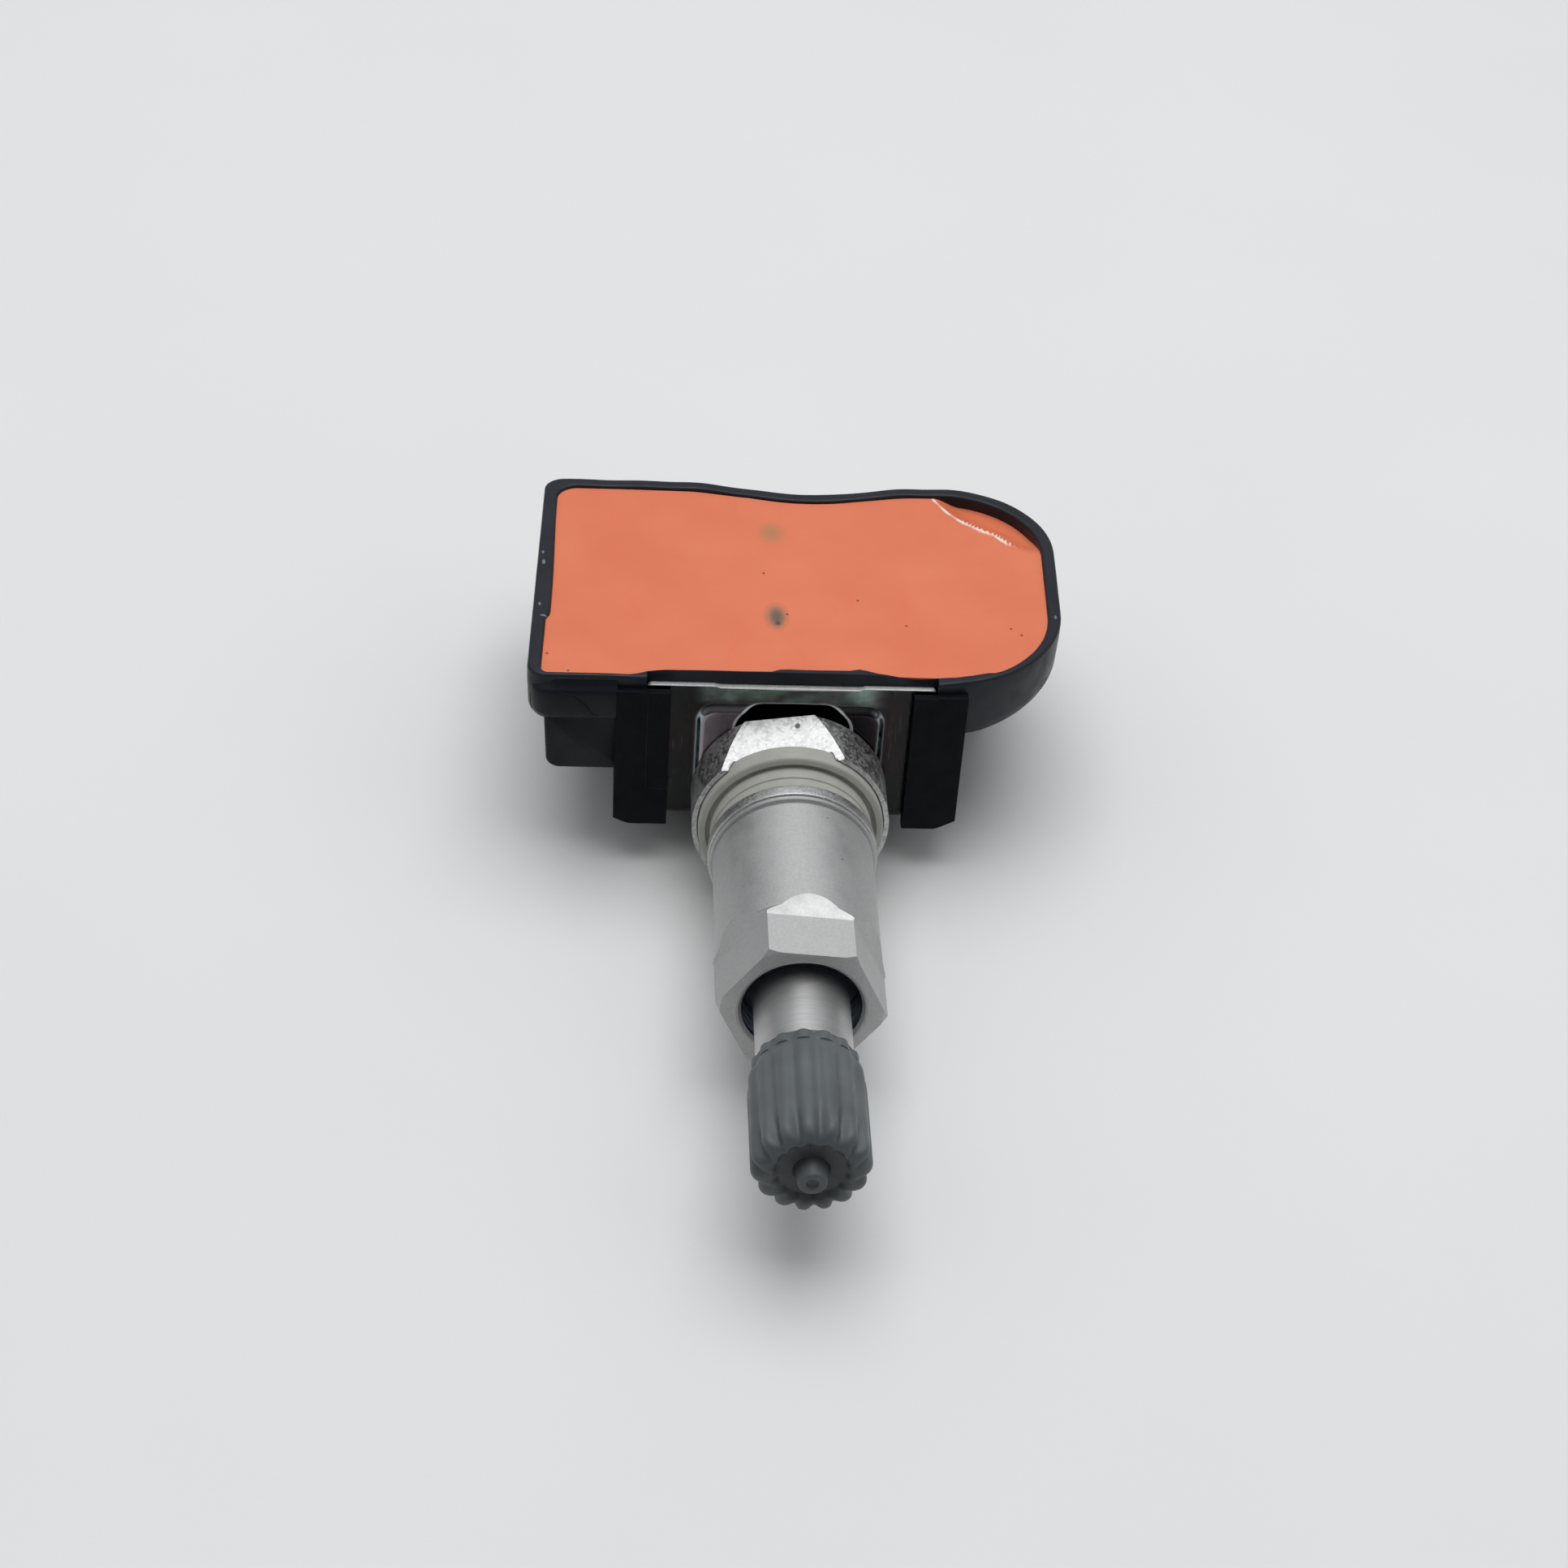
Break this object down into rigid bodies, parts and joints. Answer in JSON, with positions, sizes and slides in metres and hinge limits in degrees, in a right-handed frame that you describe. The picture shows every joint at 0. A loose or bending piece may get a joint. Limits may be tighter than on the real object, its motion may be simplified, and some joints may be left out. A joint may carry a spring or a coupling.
{
  "type": "tyre pressure sensor",
  "caption": "Clamp-in tyre pressure sensor: a potted black housing on a stamped bracket, with a metal valve, sleeve nut and ribbed cap.",
  "frame": {"origin": "on the valve axis, in the plane where the grommet seats on the inside of the wheel rim", "axes": "+X to the right seen from the cap, +Y along the valve from the cap to the housing, +Z out of the potted face"},
  "size_m": [0.0465, 0.0765, 0.0202],
  "materials": {
    "black_plastic": "moulded, satin",
    "potting": "smooth, satin",
    "bracket_steel": "plated, bright",
    "zinc_steel": "plated, speckled",
    "grommet_rubber": "matte",
    "nut_metal": "matte, bead-blasted",
    "stem_metal": "fine turned",
    "washer_metal": "satin",
    "cap_plastic": "moulded, satin",
    "seal_rubber": "matte",
    "core_brass": "turned",
    "spring_steel": "drawn wire",
    "screw_steel": "plated",
    "board_laminate": "lacquered",
    "cell_steel": "satin",
    "tab_nickel": "satin",
    "chip_plastic": "matte",
    "ferrite": "sintered",
    "copper_wire": "enamelled wire"
  },
  "bodies": {
    "root": {"housing": "black_plastic", "potting": "potting", "circuit_board": "board_laminate", "coin_cell": "cell_steel", "battery_tab_minus": "tab_nickel", "battery_tab_plus": "tab_nickel", "pressure_chip": "chip_plastic", "port_seal": "seal_rubber", "crystal": "tab_nickel", "lf_coil_core": "ferrite", "lf_coil_winding": "copper_wire", "bracket": "bracket_steel", "rear_washer": "screw_steel", "rear_screw": "screw_steel", "seat_flange": "zinc_steel", "valve_stem": "stem_metal", "grommet": "grommet_rubber", "core_body": "core_brass", "core_gasket": "seal_rubber", "core_spring": "spring_steel"},
    "washer": {"clamp_washer": "washer_metal"},
    "nut": {"sleeve_nut": "nut_metal"},
    "seal": {"cap_seal": "seal_rubber"},
    "cap": {"valve_cap": "cap_plastic"},
    "pin": {"core_pin": "core_brass"}
  },
  "joints": [
    {"name": "washer_travel", "type": "slide", "parent": "root", "child": "washer", "axis": [0, -1, 0], "range_m": [0, 0.006]},
    {"name": "nut_turn", "type": "hinge", "parent": "washer", "child": "nut", "pos_m": [0, 0, 0], "axis": [0, -1, 0], "range_deg": [0, 2160.5]},
    {"name": "seal_travel", "type": "slide", "parent": "root", "child": "seal", "axis": [0, -1, 0], "range_m": [0, 0.00556]},
    {"name": "cap_turn", "type": "hinge", "parent": "seal", "child": "cap", "pos_m": [0, 0, 0], "axis": [0, -1, 0], "range_deg": [0, 2520.5]},
    {"name": "core_press", "type": "slide", "parent": "root", "child": "pin", "axis": [0, 1, 0], "range_m": [0, 0.0015], "stiffness_N_per_m": 50, "springref_m": -0.0004, "deforming": ["core_spring"]}
  ],
  "couplings": [
    {"joint": "nut_turn", "follows": "washer_travel", "rad_per_m": 6283.2},
    {"joint": "cap_turn", "follows": "seal_travel", "rad_per_m": 7913.3}
  ]
}
